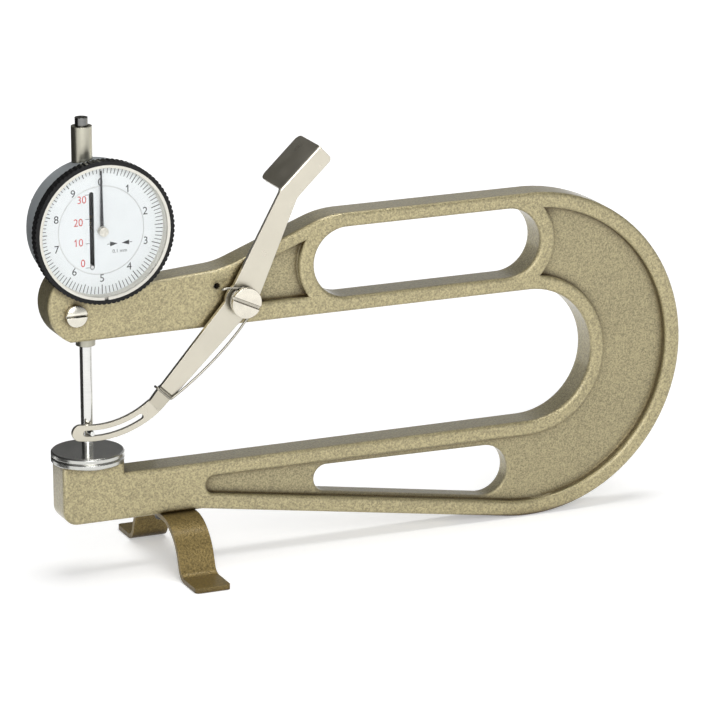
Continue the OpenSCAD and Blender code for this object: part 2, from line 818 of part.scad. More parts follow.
module pointer_arbor() {
  color("Gainsboro") translate(place) union() {
    bar_y([dial_x, dial_z], pivot_pin_r, hub_y0 + 0.4, cover_y1 - 0.6);
    bar_y([dial_x, dial_z], arbor_r, arbor_y0, arbor_y1);
    slab(-pinion_y, pinion_y) translate([dial_x, dial_z]) pinion_teeth();
  }
}

// What is seen through the crystal

module pointer() {
  hub = 1.9;
  length = glass_r - 3.1;
  color("DimGray") translate(place) difference() {
    union() {
      bar_y([dial_x, dial_z], hub, hub_y0, pointer_y1);
      slab(pointer_y0 + 0.1, pointer_y1 - 0.1) translate([dial_x, dial_z])
        polygon([[-0.7, 0], [0.7, 0], [0.3, length], [-0.3, length]]);
    }
    bar_y([dial_x, dial_z], pivot_pin_r + press, hub_y0 + 0.35, pointer_y1 + e);
  }
}

module dial_face() {
  slot = marker_tip_r + free;
  color("White") translate(place) union() {
    difference() {
      bar_y([dial_x, dial_z], face_r, scale_y, face_y1);
      bar_y([dial_x, dial_z], pivot_pin_r + free + 0.2, scale_y - e, face_y1 + e);
      slab(scale_y - e, face_y1 + e) link([marker_x, marker_z], slot, [marker_x, marker_z + travel], slot);
    }
    for (s = [-1, 1])
      bar_y([dial_x + s * foot_at, dial_z], foot_pin_r, face_y1 - e, plate_y1 - 0.1);
  }
}

module scale_ring() {
  color("White") translate(place) dial_ring(scale_in, glass_r - press, scale_y, shelf_y);
}

module bezel() {
  step = 360 / flutes;
  color("Black") translate(place) difference() {
    union() {
      slab(bezel_y0, flute_y1) translate([dial_x, dial_z]) polygon([
        for (i = [0 : flutes - 1]) each [
          bezel_r * [cos((i - 0.2) * step), sin((i - 0.2) * step)],
          bezel_r * [cos(i * step), sin(i * step)],
          bezel_r * [cos((i + 0.2) * step), sin((i + 0.2) * step)],
          (bezel_r - flute) * [cos((i + 0.5) * step), sin((i + 0.5) * step)]
        ]
      ]);
      bar_y([dial_x, dial_z], bezel_back_r, flute_y1 - e, bezel_y1);
    }
    bar_y([dial_x, dial_z], glass_r, bezel_y0 - e, shelf_y);
    bar_y([dial_x, dial_z], neck_r + run, shelf_y - e, bezel_y1 + e);
    dial_ring(neck_r - 1, clip_r + free, groove_y0 - axial, groove_y1 + axial);
  }
}

module split(width, r0, y0, y1, a) {
  translate([dial_x, 0, dial_z]) rotate([0, -a, 0])
    translate([r0, y0 - e, -width / 2]) cube([bezel_r, y1 - y0 + 2 * e, width]);
}

module bezel_ring() {
  color("Silver") translate(place) difference() {
    dial_ring(groove_r + press, clip_r, groove_y0, groove_y1);
    split(4, neck_r - 2, groove_y0, groove_y1, 200);
  }
}

module spacer_ring() {
  color("Ivory") translate(place) dial_ring(ring_in, glass_r - press, spacer_y, scale_y);
}

module crystal() {
  color([0.9, 0.95, 1, 0.3]) translate(place) bar_y([dial_x, dial_z], glass_r - press, glass_y, spacer_y);
}

module snap_ring() {
  color("Ivory") translate(place) difference() {
    dial_ring(ring_in + 0.1, glass_r - press, bezel_y0, glass_y);
    split(1.6, ring_in - 1, bezel_y0, glass_y, -90);
  }
}

// Stem clamp

module clamp_screw() {
  color("Silver") translate(place) union() {
    slotted_head(clamp, clamp_head_r, -half_t - clamp_head_h, -half_t, 1, 1.2);
    bar_y(clamp, clamp_screw_r, -half_t - e, shoe_y1 - 1.5);
  }
}

module clamp_shoe() {
  color("Goldenrod") translate(place) difference() {
    bar_y(clamp, shoe_r, shoe_y0, shoe_y1);
    bar_y(clamp, clamp_screw_r + press, shoe_y0 - e, shoe_y1 - 1.4);
    bar_z(0, 0, stem_r + press, throat_hi, dial_z);
  }
}

// Lifting lever

module lever_plate() {
  w0 = lever_arm_w0 * arm_v;
  w1 = lever_arm_w1 * arm_v;
  far = pivot + lever_arm_s * arm_u;
  fold_u = [cos(fold_a), sin(fold_a)];
  fold_v = [sin(fold_a), -cos(fold_a)];
  knuckle_v = [cos(ramp_a), -sin(ramp_a)];
  translate(pivot) circle(r = hub_r);
  polygon([pivot + w0, far + w1, far - w1, pivot - w0]);
  link(pivot, hub_r - 1, knuckle, knuckle_r);
  difference() {
    polygon([
      fold + inset * fold_u + inset * fold_v, fold + (fold_len - inset) * fold_u + inset * fold_v,
      fold + (fold_len - inset) * fold_u + tab_w * fold_v, fold + tab_foot * fold_u + tab_w * fold_v,
      knuckle + (knuckle_r - inset) * knuckle_v, knuckle - (knuckle_r - inset) * knuckle_v
    ]);
    corner(fold + (fold_len - inset) * fold_u + tab_w * fold_v, -fold_v, -fold_u, tab_end_r, 0.6);
  }
}

module lever_strip() {
  a0 = slot_angle(strip_x0);
  a1 = slot_angle(strip_x1);
  sector(slot_c, slot_r - strip_w, slot_r + strip_w, a0, a1);
  translate(on_slot(strip_x0)) circle(r = strip_w + ease);
}

module lever_slot() {
  a0 = slot_angle(slot_x0);
  a1 = slot_angle(slot_x1);
  sector(slot_c, slot_r - slot_w, slot_r + slot_w, a0, a1);
  translate(on_slot(slot_x0)) circle(r = slot_w + ease);
  translate(on_slot(slot_x1)) circle(r = slot_w + ease);
}

module lever_joggle() {
  a1 = slot_angle(strip_x1 + 0.4);
  a2 = slot_angle(strip_x1 - 2);
  end_u = [cos(a1), sin(a1)];
  end_v = [cos(a2), sin(a2)];
  near = pivot + (lever_arm_s - 1) * arm_u;
  low = pivot + (lever_arm_s + 0.5) * arm_u;
  w1 = (lever_arm_w1 - inset) * arm_v;
  r0 = slot_r - strip_w + inset;
  r1 = slot_r + strip_w - inset;
  reach = norm(on_slot(strip_x1) - pivot);
  intersection() {
    translate([pivot[0], 0, pivot[1]]) rotate([0, 180 - lever_arm_a, 0]) translate([0, 0, -20])
      linear_extrude(height = 40) polygon([
        [lever_arm_s - 2, lever_y0 + 0.3], [lever_arm_s - 0.2, lever_y0 + inset], [reach, strip_y0 + inset],
        [reach + 6, strip_y0 + inset], [reach + 6, strip_y1 - inset], [reach - 0.6, strip_y1 - inset],
        [lever_arm_s - 0.8, lever_y1 - inset], [lever_arm_s - 2, lever_y1 - 0.3]
      ]);
    slab(lever_y0 - 1, strip_y1 + 1) polygon([
      near - w1, low - w1, slot_c + r0 * end_u, slot_c + (r0 + 0.4) * end_v,
      slot_c + (r1 - 0.4) * end_v, slot_c + r1 * end_u, low + w1, near + w1
    ]);
  }
}

module lever_tab() {
  translate([fold[0], 0, fold[1]]) rotate([0, -fold_a, 0]) translate([0, 0, -sheet])
    linear_extrude(height = sheet) difference() {
      translate([0, lever_y0 + 0.2]) square([fold_len, tab_y1 - lever_y0 - 0.2]);
      corner([0, tab_y1], [1, 0], [0, -1], tab_r, 0.6);
      corner([fold_len, tab_y1], [-1, 0], [0, -1], tab_r, 0.6);
    }
}

module lever_bend() {
  translate([fold[0], 0, fold[1]]) rotate([0, -fold_a, 0]) rotate([90, 0, 90]) translate([0, 0, -0.3])
    linear_extrude(height = fold_len + 1) corner([lever_y0, 0], [1, 0], [0, -1], fold_r, 0.6);
}

module lift_lever() {
  color("Tan") translate(place) difference() {
    union() {
      slab(lever_y0, lever_y1) lever_plate();
      slab(strip_y0, strip_y1) lever_strip();
      lever_joggle();
      lever_tab();
    }
    slab(strip_y0 - e, strip_y1 + e) lever_slot();
    lever_bend();
    bar_y(pivot, shoulder_r + run, lever_y0 - 1, lever_y1 + 1);
  }
}

module pivot_screw() {
  tilt = 25;
  color("Silver") translate(place) union() {
    translate([pivot[0], 0, pivot[1]]) rotate([0, tilt, 0])
      slotted_head([0, 0], head_d / 2, head_y1 - head_h, head_y1, 1.4, 1.1);
    bar_y(pivot, shoulder_r, head_y1 - e, -half_t);
    bar_y(pivot, pivot_thread_r, -half_t - e, screw_end_y);
  }
}

module pivot_washer() {
  color("Silver") translate(place) difference() {
    bar_y(pivot, 6, -half_t - washer_t, -half_t);
    bar_y(pivot, shoulder_r + run, -half_t - washer_t - e, -half_t + e);
  }
}

leg_u = [-cos(leg_a), -sin(leg_a)];
hook_u = -arm_v;
end_u = cos(leg_in) * arm_u - sin(leg_in) * arm_v;
leg_start = pivot + coil_r * [sin(leg_a), -cos(leg_a)];
hook_at = pivot + leg_len * arm_u + leg_off * arm_v;
hook_end = hook_at + hook_len * hook_u;
leg_p1 = leg_start + leg_pull[0] * leg_u;
leg_p2 = hook_at - leg_pull[1] * end_u;
function leg_point(t) =
  pow(1 - t, 3) * leg_start + 3 * t * pow(1 - t, 2) * leg_p1 + 3 * t * t * (1 - t) * leg_p2 + pow(t, 3) * hook_at;
leg_n = 10;
coil_n = 22;
coil_end_y = coil_y - coil_pitch * coil_sweep / 360;
function at_y(p, y) = [p[0], y, p[1]];
lever_path = concat(
  [at_y(hook_end, coil_y + hook_drop), at_y(hook_end, coil_y + 1), at_y(hook_end - 0.3 * hook_u, coil_y + 0.3),
   at_y(hook_end - hook_u, coil_y), at_y(hook_at + hook_u, coil_y), at_y(hook_at + 0.3 * hook_u - 0.3 * end_u, coil_y),
   at_y(hook_at - end_u, coil_y)],
  [for (i = [leg_n - 1 : -1 : 1]) at_y(leg_point(i / leg_n), coil_y)],
  [for (i = [0 : coil_n]) let (a = leg_a - 90 + coil_sweep * i / coil_n)
    at_y(pivot + coil_r * [cos(a), sin(a)], coil_y - coil_pitch * coil_sweep / 360 * i / coil_n)],
  [at_y(spring_hole + [2.2, 0.4], coil_end_y), at_y(spring_hole + [0.4, 0], coil_end_y + 0.4),
   at_y(spring_hole, coil_end_y + 1.6), at_y(spring_hole, spring_end_y - 1), at_y(spring_hole, spring_end_y)]
);

module lever_spring() {
  echo(lever_spring_gap = least_gap(lever_path, wire_r, 8));
  color("SlateGray") translate(place) wire(lever_path, wire_r, [1, 0, 0]);
}

// Stand

function touch(u, v, r) = r / tan(acos(u * v) / 2);
function middle(p, u, v, r) = p + (u + v) / norm(u + v) * r / sin(acos(u * v) / 2);

module strap_cut(side) {
  mirror([side, 0]) {
    corner(strap_p1, [-1, 0], leg_dir, bend_r, 0.6);
    corner(strap_q2, -leg_dir, [1, 0], foot_bend_r + strap_t, 0.6);
    translate(middle(strap_q1, [-1, 0], leg_dir, bend_r - strap_t)) circle(r = bend_r - strap_t, $fn = 128);
    translate(middle(strap_p2, -leg_dir, [1, 0], foot_bend_r)) circle(r = foot_bend_r);
  }
}

module strap_profile() {
  t1 = touch([-1, 0], leg_dir, bend_r - strap_t);
  t2 = touch(-leg_dir, [1, 0], foot_bend_r);
  half = [
    strap_p1, strap_p2 - t2 * leg_dir, strap_p2 + [t2, 0], [foot_y, floor_z + strap_t], [foot_y, floor_z],
    strap_q2, strap_q1 + t1 * leg_dir, strap_q1 - [t1, 0]
  ];
  difference() {
    polygon(concat(half, [for (i = [len(half) - 1 : -1 : 0]) [-half[i][0], half[i][1]]]));
    strap_cut(0);
    strap_cut(1);
  }
}

module stand_strap() {
  color("SaddleBrown") translate(place) difference() {
    translate([strap_x - strap_w / 2, 0, 0]) rotate([90, 0, 90]) linear_extrude(height = strap_w)
      strap_profile();
    for (s = [-1, 1])
      bar_z(strap_x + s * stand_screw_dx, 0, stand_screw_r + press, under_z - strap_t - e, under_z + e);
    translate([0, 0, floor_z - e]) linear_extrude(height = strap_t + 2 * e) for (sx = [-1, 1], sy = [-1, 1])
      corner([strap_x + sx * strap_w / 2, sy * foot_y], [-sx, 0], [0, -sy], foot_corner_r, 0.6);
  }
}

module stand_screws() {
  color("DimGray") translate(place) for (s = [-1, 1]) translate([strap_x + s * stand_screw_dx, 0, under_z - strap_t])
    difference() {
      union() {
        bar_z(0, 0, stand_head_r, -stand_head_h, 0);
        bar_z(0, 0, stand_screw_r, -e, strap_t + stand_screw_l);
      }
      translate([-stand_head_r - e, -0.5, -stand_head_h - e]) cube([2 * stand_head_r + 2 * e, 1, stand_slot_d + e]);
    }
}

frame();
anvil();
anvil_screw();
contact_disc();
spindle();
spindle_cap();
lift_pin();
spring_arm();
travel_marker();
stem();
upper_sleeve();
dial_housing();
back_cover();
back_screws();
movement_plate();
plate_screws();
front_bush();
rear_bush();
guide_rod();
return_spring();
pointer_arbor();
pointer();
dial_face();
scale_ring();
bezel();
bezel_ring();
spacer_ring();
crystal();
snap_ring();
clamp_screw();
clamp_shoe();
lift_lever();
pivot_screw();
pivot_washer();
lever_spring();
stand_strap();
stand_screws();
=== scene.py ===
import math

import bmesh
import bpy
from mathutils import Matrix, Vector


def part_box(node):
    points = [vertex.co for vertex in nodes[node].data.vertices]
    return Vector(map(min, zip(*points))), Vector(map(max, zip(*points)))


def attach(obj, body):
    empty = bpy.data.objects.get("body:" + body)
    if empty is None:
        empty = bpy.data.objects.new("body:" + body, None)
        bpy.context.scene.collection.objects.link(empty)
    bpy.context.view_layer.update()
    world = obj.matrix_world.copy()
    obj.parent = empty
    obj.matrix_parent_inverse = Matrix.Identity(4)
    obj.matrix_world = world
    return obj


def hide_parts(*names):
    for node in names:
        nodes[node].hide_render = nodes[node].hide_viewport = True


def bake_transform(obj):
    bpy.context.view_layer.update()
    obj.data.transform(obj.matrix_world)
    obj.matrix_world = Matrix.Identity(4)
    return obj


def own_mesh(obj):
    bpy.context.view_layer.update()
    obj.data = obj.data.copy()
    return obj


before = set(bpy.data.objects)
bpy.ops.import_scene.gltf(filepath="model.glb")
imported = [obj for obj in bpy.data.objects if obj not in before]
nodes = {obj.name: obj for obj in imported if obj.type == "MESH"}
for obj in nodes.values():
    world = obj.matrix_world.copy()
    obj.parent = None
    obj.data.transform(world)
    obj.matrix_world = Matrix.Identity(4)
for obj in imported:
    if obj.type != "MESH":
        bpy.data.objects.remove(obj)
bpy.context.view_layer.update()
scene = bpy.context.scene

# Places are written in millimetres from the spindle's axis and the contact plane, as in the part's source
MM = 0.001


def middle(node):
    low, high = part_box(node)
    return (low + high) / 2


SHIFT = Vector((middle("anvil").x, 0.0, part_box("anvil")[1].z))


def at(x, y, z):
    return Vector((x * MM, y * MM, z * MM)) + SHIFT


def place(node):
    """How far across and up a node's middle lies, in those millimetres."""
    offset = (middle(node) - SHIFT) / MM
    return Vector((offset.x, offset.z))


DIAL = place("dial_face")
PIVOT = place("pivot_screw")
CLAMP = Vector((-6.5, 61.3))
SPRING_HOLE = Vector((54.4, 66.9))
ROD_X = -8.5


# Node helpers for procedural materials

WHITE = (1.0, 1.0, 1.0)
# The mix node's sockets for colours: the factor and the two colours
MIX_SOCKETS = (0, 6, 7)


def scaled(color, by):
    return tuple(min(1.0, c * by) for c in color)


class Surface:
    """A Principled material with object coordinates in metres."""

    def __init__(self, name, color, metal=0.0, rough=0.5, **more):
        self.mat = bpy.data.materials.new(name)
        self.mat.use_nodes = True
        self.tree = self.mat.node_tree
        self.bsdf = self.tree.nodes["Principled BSDF"]
        self.coord = self.tree.nodes.new("ShaderNodeTexCoord").outputs["Object"]
        self.to("Base Color", (*color, 1.0))
        self.to("Metallic", metal)
        self.to("Roughness", rough)
        for key, value in more.items():
            self.to(key.replace("_", " "), value)

    def feed(self, socket, value):
        """Links another node's output to a socket, or sets a plain value there."""
        if hasattr(value, "is_linked"):
            self.tree.links.new(value, socket)
        else:
            socket.default_value = value

    def to(self, socket, value):
        self.feed(self.bsdf.inputs[socket], value)

    def node(self, kind, **inputs):
        n = self.tree.nodes.new(kind)
        for key, value in inputs.items():
            self.feed(n.inputs[key.replace("_", " ")], value)
        return n

    def operate(self, kind, operation, values):
        n = self.tree.nodes.new(kind)
        n.operation = operation
        for socket, value in zip(n.inputs, values):
            self.feed(socket, value)
        return n.outputs["Value"]

    def math(self, operation, *values):
        return self.operate("ShaderNodeMath", operation, values)

    def vector(self, operation, *values):
        return self.operate("ShaderNodeVectorMath", operation, values)

    def weighted(self, *parts):
        """The sum of several values, each times its weight."""
        total, *others = (self.math("MULTIPLY", value, weight) for value, weight in parts)
        for other in others:
            total = self.math("ADD", total, other)
        return total

    def mapped(self, scale, shift=(0.0, 0.0, 0.0)):
        return self.node("ShaderNodeMapping", Vector=self.coord, Scale=scale, Location=shift).outputs[0]

    def noise(self, scale, detail=2.0, rough=0.5, vector=None):
        n = self.node("ShaderNodeTexNoise", Vector=vector or self.coord, Scale=scale, Detail=detail,
                      Roughness=rough)
        return n.outputs["Fac"]

    def ramp(self, fac, *stops):
        n = self.node("ShaderNodeValToRGB", Fac=fac)
        elements = n.color_ramp.elements
        while len(elements) < len(stops):
            elements.new(0.5)
        for element, (position, color) in zip(elements, stops):
            element.position = position
            element.color = (*color, 1.0)
        return n.outputs["Color"]

    def span(self, value, low, high, start, end):
        """From low to high as the value goes from start to end."""
        n = self.node("ShaderNodeMapRange", Value=value, From_Min=start, From_Max=end, To_Min=low,
                      To_Max=high)
        return n.outputs["Result"]

    def mix(self, fac, a, b, blend="MIX"):
        n = self.tree.nodes.new("ShaderNodeMix")
        n.data_type, n.blend_type = "RGBA", blend
        for index, value in zip(MIX_SOCKETS, (fac, a, b)):
            self.feed(n.inputs[index], (*value, 1.0) if isinstance(value, tuple) else value)
        return n.outputs[2]

    def times(self, color, by):
        return self.mix(1.0, color, by, "MULTIPLY")

    def soft_edges(self, radius):
        """Normals that turn smoothly round the edges."""
        n = self.node("ShaderNodeBevel", Radius=radius)
        n.samples = 6
        return n.outputs[0]

    def edge_mask(self, soft):
        """One on the edges and zero on the flat, from the cosine between soft and true normals."""
        true = self.tree.nodes.new("ShaderNodeNewGeometry").outputs["Normal"]
        return self.span(self.vector("DOT_PRODUCT", soft, true), 1.0, 0.0, 0.86, 0.995)

    def shaded(self, color, reach, deepest_shade):
        """The colour with painted shade, darker in corners and grooves."""
        near = self.node("ShaderNodeAmbientOcclusion", Distance=reach)
        near.samples = 8
        return self.times(color, self.ramp(near.outputs["AO"], (0.45, deepest_shade), (0.90, WHITE)))

    def away(self, centre, axes):
        """The distance from the centre, with each axis counted by its weight."""
        return self.vector("LENGTH", self.mapped(axes, tuple(-c * k for c, k in zip(centre, axes))))

    def bump(self, height, strength, depth, normal):
        n = self.node("ShaderNodeBump", Height=height, Strength=strength, Distance=depth, Normal=normal)
        return n.outputs[0]


# Finishes

def metallic_paint(name, color, rough, corner_reach, corner_shade, edge_radius, coat, recess_shade=1.0):
    """A metallic enamel with a fine hammered skin; painted shade darkens the panels sunk below the rims by
    the given factor and fills the corners, and a painted highlight lightens the edges.
    """
    sunk_y, rim_y = 5.4 * MM, 6.2 * MM
    s = Surface(name, color, metal=0.65, rough=rough, Coat_Weight=coat, Coat_Roughness=0.15)
    fine = s.noise(1650, detail=1.0)
    skin = s.noise(1050, detail=1.5)
    broad = s.noise(26)
    tone = s.weighted((fine, 0.6), (skin, 0.4), (broad, 0.10))
    base = s.ramp(tone, (0.40, scaled(color, 0.68)), (0.54, color), (0.68, scaled(color, 1.36)))
    soft = s.soft_edges(edge_radius)
    # Painted highlight: the colour is lighter along the rounded edges.
    painted_edge_highlight = tuple(c * 1.5 + 0.04 for c in color)
    base = s.mix(s.math("MULTIPLY", s.edge_mask(soft), 0.4), base, painted_edge_highlight)
    # Painted shade: the panels sunk below the rims are darkened by the given factor.
    if recess_shade < 1.0:
        from_middle = s.away((0, 0, 0), (0, 1, 0))
        base = s.times(base, s.span(from_middle, recess_shade, 1.0, sunk_y, rim_y))
    # Painted shade in the corners and grooves.
    s.to("Base Color", s.shaded(base, corner_reach, corner_shade))
    s.to("Roughness", s.span(fine, rough - 0.06, rough + 0.08, 0.3, 0.7))
    s.to("Normal", s.bump(skin, 0.65, 0.3 * MM, soft))
    return s.mat


def plated(name, color, rough, streak, edge_radius=0.25 * MM, spread=0.07, dark=0.82, crown=None):
    """Plated or polished metal with fine streaks, and a domed look about the point crown."""
    crown_depth = 45.0
    s = Surface(name, color, metal=1.0, rough=rough)
    lines = s.noise(1.0, 3.0, 0.65, s.mapped(streak))
    cloud = s.noise(55, 3.0, 0.55)
    base = s.ramp(s.weighted((lines, 0.45), (cloud, 0.55)), (0.36, scaled(color, dark)), (0.58, color))
    # Painted shade in the slots and corners.
    s.to("Base Color", s.shaded(base, 1.2 * MM, (0.12, 0.11, 0.09)))
    s.to("Roughness", s.span(lines, rough - spread, rough + spread, 0.3, 0.7))
    normal = s.soft_edges(edge_radius)
    if crown:
        fall = s.math("MULTIPLY", s.math("POWER", s.away(crown, (1, 0, 1)), 2.0), -crown_depth)
        normal = s.bump(fall, 1.0, 1.0, normal)
    s.to("Normal", s.bump(lines, 0.06, 0.08 * MM, normal))
    return s.mat


def turned(name, color, rough, centre):
    """Steel with fine rings left by the lathe about an upright axis, so many radians to the metre."""
    ring_rate = 16000.0
    s = Surface(name, color, metal=1.0, rough=rough)
    rings = s.math("SINE", s.math("MULTIPLY", s.away(centre, (1, 1, 0)), ring_rate))
    cloud = s.noise(70, 3.0, 0.6)
    s.to("Base Color", s.ramp(cloud, (0.35, scaled(color, 0.84)), (0.65, color)))
    s.to("Roughness", s.span(cloud, rough - 0.04, rough + 0.06, 0.3, 0.7))
    s.to("Normal", s.bump(rings, 0.05, 0.04 * MM, s.soft_edges(0.3 * MM)))
    return s.mat


def satin(name, color, metal, rough, grain_scale=900, depth=0.05 * MM, vary=0.85, edge=None,
          edge_radius=0.3 * MM, **more):
    """A plain grained finish, with wear of another colour on the edges where one is given."""
    s = Surface(name, color, metal=metal, rough=rough, **more)
    grain = s.noise(grain_scale, 3.0, 0.6)
    cloud = s.noise(45)
    base = s.ramp(cloud, (0.34, scaled(color, vary)), (0.62, color))
    soft = s.soft_edges(edge_radius)
    if edge:
        wear = s.math("MULTIPLY", s.edge_mask(soft), s.span(grain, 0.0, 0.8, 0.42, 0.62))
        base = s.mix(wear, base, edge)
    s.to("Base Color", base)
    s.to("Roughness", s.span(grain, rough - 0.06, rough + 0.08, 0.3, 0.7))
    s.to("Normal", s.bump(grain, 0.15, depth, soft))
    return s.mat


def crystal():
    s = Surface("crystal_clear", (0.93, 0.96, 0.98), rough=0.04, IOR=1.49)
    s.to("Alpha", s.span(s.noise(60, 3.0, 0.6), 0.012, 0.03, 0.35, 0.65))
    s.to("Roughness", s.span(s.noise(180, 3.0, 0.6), 0.02, 0.08, 0.35, 0.65))
    return s.mat


def pointer_finish():
    """A blued needle on a pale turned hub, told apart by the distance from the dial's axis."""
    hub_radius = 1.93 * MM
    s = Surface("pointer_blued", (0.03, 0.03, 0.034), metal=0.6, rough=0.38)
    hub = s.math("LESS_THAN", s.away(at(DIAL.x, 0, DIAL.y), (1, 0, 1)), hub_radius)
    grain = s.noise(1200)
    needle = s.ramp(grain, (0.35, (0.022, 0.022, 0.026)), (0.65, (0.045, 0.045, 0.05)))
    pale = s.ramp(grain, (0.35, (0.56, 0.54, 0.47)), (0.65, (0.74, 0.72, 0.65)))
    s.to("Base Color", s.mix(hub, needle, pale))
    s.to("Roughness", s.span(grain, 0.3, 0.46, 0.3, 0.7))
    s.to("Normal", s.soft_edges(0.2 * MM))
    return s.mat


def print_ink(name, color):
    s = Surface(name, color, rough=0.5)
    grain = s.noise(2600)
    s.to("Base Color", s.ramp(grain, (0.3, scaled(color, 0.8)), (0.7, scaled(color, 1.2))))
    s.to("Roughness", s.span(grain, 0.42, 0.6, 0.3, 0.7))
    return s.mat


paint = metallic_paint("olive_enamel", (0.372, 0.322, 0.180), 0.34, corner_reach=5.5 * MM,
                       corner_shade=(0.18, 0.125, 0.04), edge_radius=2.6 * MM, coat=0.5, recess_shade=0.84)
bronze = metallic_paint("strap_bronze", (0.20, 0.146, 0.052), 0.45, corner_reach=6 * MM,
                        corner_shade=(0.40, 0.36, 0.30), edge_radius=0.4 * MM, coat=0.1)
lever_nickel = plated("satin_nickel", (0.60, 0.565, 0.475), 0.32, (90, 90, 90), dark=0.93)
nickel = plated("bright_nickel", (0.72, 0.68, 0.585), 0.22, (300, 300, 300), spread=0.05)
domed = plated("domed_nickel", (0.74, 0.71, 0.62), 0.20, (300, 300, 300), spread=0.05,
               crown=at(CLAMP.x, 0, CLAMP.y))
sleeve_nickel = plated("warm_nickel", (0.44, 0.425, 0.35), 0.33, (120, 120, 2600), spread=0.05)
chrome = plated("polished_steel", (0.72, 0.72, 0.70), 0.11, (90, 90, 2400), spread=0.03, dark=0.9)
cap_steel = plated("dark_steel", (0.17, 0.17, 0.166), 0.14, (90, 90, 2400), spread=0.03, dark=0.8)
brass = plated("brass", (0.76, 0.56, 0.27), 0.3, (200, 200, 200))
wire = plated("spring_wire", (0.36, 0.34, 0.29), 0.28, (400, 400, 400), edge_radius=0.1 * MM)
disc = turned("lapped_steel", (0.56, 0.56, 0.53), 0.17, at(0, 0, 0))
grey = satin("housing_grey", (0.40, 0.43, 0.445), 0.4, 0.36, edge=(0.6, 0.61, 0.6))
black = satin("bezel_black", (0.007, 0.007, 0.0075), 0.0, 0.17, depth=0.02 * MM, vary=0.6,
              edge=(0.016, 0.016, 0.016), Specular_IOR_Level=0.22)
white = satin("dial_white", (0.80, 0.835, 0.845), 0.0, 0.42, grain_scale=1400, depth=0.02 * MM, vary=0.965,
              edge_radius=0.1 * MM)
enamel = satin("marker_white", (0.72, 0.73, 0.72), 0.0, 0.4, edge_radius=0.1 * MM)
cream = satin("ring_cream", (0.72, 0.70, 0.63), 0.35, 0.36, vary=0.88, edge_radius=0.2 * MM)
# Painted shade: the movement plate is near black so that the slot in the dial reads dark.
slot_shade = satin("painted_slot_shade", (0.006, 0.0055, 0.005), 0.0, 0.6, vary=0.7, Specular_IOR_Level=0.15)
dark = satin("dark_screw", (0.10, 0.098, 0.092), 0.85, 0.38, edge=(0.4, 0.39, 0.36))
ink = print_ink("ink_black", (0.016, 0.016, 0.018))
red = print_ink("ink_red", (0.56, 0.05, 0.045))

finish = {
    paint: ["frame"],
    disc: ["anvil", "contact_disc"],
    chrome: ["spindle", "lift_pin", "guide_rod", "pointer_arbor"],
    cap_steel: ["spindle_cap"],
    sleeve_nickel: ["stem", "upper_sleeve"],
    grey: ["dial_housing", "back_cover"],
    nickel: ["pivot_screw", "pivot_washer", "back_screws", "plate_screws"],
    domed: ["clamp_screw"],
    brass: ["spring_arm", "front_bush", "rear_bush", "clamp_shoe"],
    slot_shade: ["movement_plate"],
    wire: ["return_spring", "lever_spring", "bezel_ring"],
    pointer_finish(): ["pointer"],
    enamel: ["travel_marker"],
    white: ["dial_face", "scale_ring"],
    black: ["bezel"],
    cream: ["spacer_ring", "snap_ring"],
    crystal(): ["crystal"],
    lever_nickel: ["lift_lever"],
    bronze: ["stand_strap"],
    dark: ["stand_screws", "anvil_screw"],
}
for mat, names in finish.items():
    for name in names:
        obj = nodes[name]
        obj.data.materials.clear()
        obj.data.materials.append(mat)


# Before an edge of a node's mesh is rounded, its close points are welded and its flat faces joined
WELD = 0.002 * MM
FLAT = math.radians(0.6)
SHARP = math.radians(35)


def break_edges(obj, width):
    """Short bevels on all sharp edges of a node, as modifiers."""
    weld = obj.modifiers.new("weld", "WELD")
    weld.merge_threshold = WELD
    flat = obj.modifiers.new("flat", "DECIMATE")
    flat.decimate_type = "DISSOLVE"
    flat.angle_limit = FLAT
    edge = obj.modifiers.new("edge", "BEVEL")
    edge.width = width
    edge.segments = 2
    edge.limit_method = "ANGLE"
    edge.angle_limit = SHARP
    edge.miter_outer = "MITER_ARC"
    edge.harden_normals = True


break_edges(nodes["pivot_screw"], 0.4 * MM)


# Pieces made here

def add(name, mesh, mat, body):
    obj = bpy.data.objects.new(name, mesh)
    scene.collection.objects.link(obj)
    mesh.materials.clear()
    mesh.materials.append(mat)
    if body:
        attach(obj, body)
    return obj


def to_mesh(bm, name, closed=True):
    """A mesh of what was built, with the faces of a closed shape turned outwards."""
    if closed:
        bmesh.ops.recalc_face_normals(bm, faces=bm.faces)
    mesh = bpy.data.meshes.new(name)
    bm.to_mesh(mesh)
    bm.free()
    return mesh


def join_loops(bm, a, b):
    """A band of faces between two closed loops of as many points."""
    for i in range(len(a)):
        j = (i + 1) % len(a)
        bm.faces.new((a[i], a[j], b[j], b[i]))


# The casting: the frame's own faces with the long edges rounded, apart from some places and their reach
FRAME_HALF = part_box("frame")[1].y
NEAR_FACE = 0.02 * MM
STEEP = math.radians(60)
BEHIND_DIAL = Vector((11.5, 69.0))
PLAIN = ((SPRING_HOLE, 2.5), (CLAMP, 6.0), (PIVOT, 9.0), (BEHIND_DIAL, 7.0))


def long_edge(e):
    """A sharp outer edge of the front or rear face, away from the plain places."""
    if len(e.link_faces) != 2 or not e.is_convex or e.calc_face_angle() < STEEP:
        return False
    p, q = (v.co for v in e.verts)
    if max(abs(abs(p.y) - FRAME_HALF), abs(abs(q.y) - FRAME_HALF), abs(p.y - q.y)) > NEAR_FACE:
        return False
    mid = ((p + q) / 2 - SHIFT) / MM
    return all((mid.xz - spot).length >= reach for spot, reach in PLAIN)


